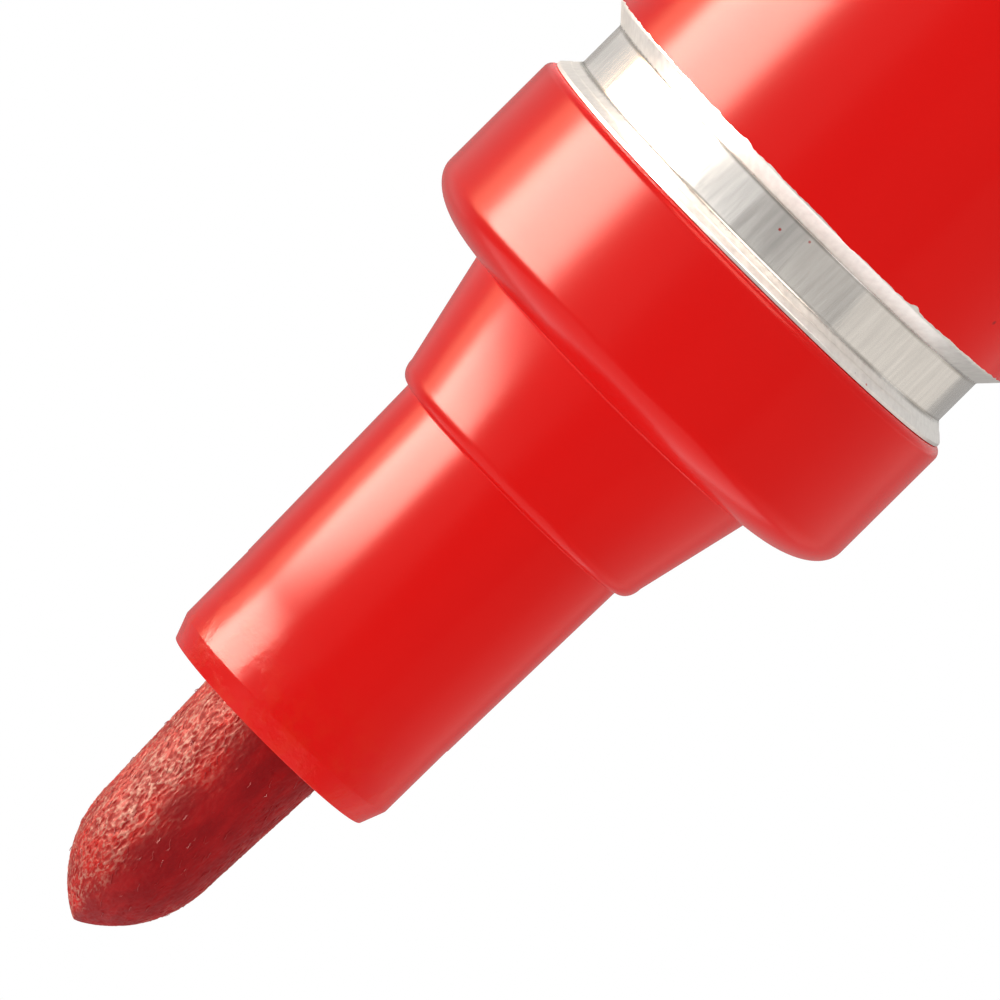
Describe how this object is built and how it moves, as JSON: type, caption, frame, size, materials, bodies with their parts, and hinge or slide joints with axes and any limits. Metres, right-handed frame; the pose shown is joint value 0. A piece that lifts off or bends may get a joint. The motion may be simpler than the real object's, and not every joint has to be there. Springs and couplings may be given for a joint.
{
  "type": "felt tip marker",
  "caption": "Bullet-tip permanent marker with a red lacquered aluminium barrel crimped to a red moulded nib holder, standing on its clip cap, which is posted on the tail.",
  "frame": {"origin": "centre of the cap's flat closed end, on which the marker stands", "axes": "+Z along the marker's axis towards the nib; +X towards the cap's clip"},
  "size_m": [0.0222, 0.0196, 0.1373],
  "materials": {
    "barrel_lacquer": "glossy red lacquer over drawn aluminium, bare metal at the rolled groove",
    "holder_plastic": "glossy red injection-moulded polypropylene",
    "packing_rubber": "matt black rubber",
    "nib_felt": "pressed fibre soaked with red ink",
    "wad_fibre": "bundled fibre soaked with red ink",
    "wrap_film": "thin clear film",
    "cap_plastic": "glossy red injection-moulded polypropylene",
    "seal_plastic": "natural polyethylene"
  },
  "bodies": {
    "marker": {"barrel_can": "barrel_lacquer", "nib_holder": "holder_plastic", "packing_ring": "packing_rubber", "ink_wad": "wad_fibre", "wad_wrap": "wrap_film"},
    "nib": {"bullet_nib": "nib_felt"},
    "cap": {"cap_shell": "cap_plastic", "cap_inner_seal": "seal_plastic"}
  },
  "joints": [
    {"name": "cap_pull", "type": "slide", "parent": "marker", "child": "cap", "axis": [0, 0, -1], "range_m": [0, 0.02]},
    {"name": "nib_pull", "type": "slide", "parent": "marker", "child": "nib", "axis": [0, 0, 1], "range_m": [0, 0.036]}
  ]
}
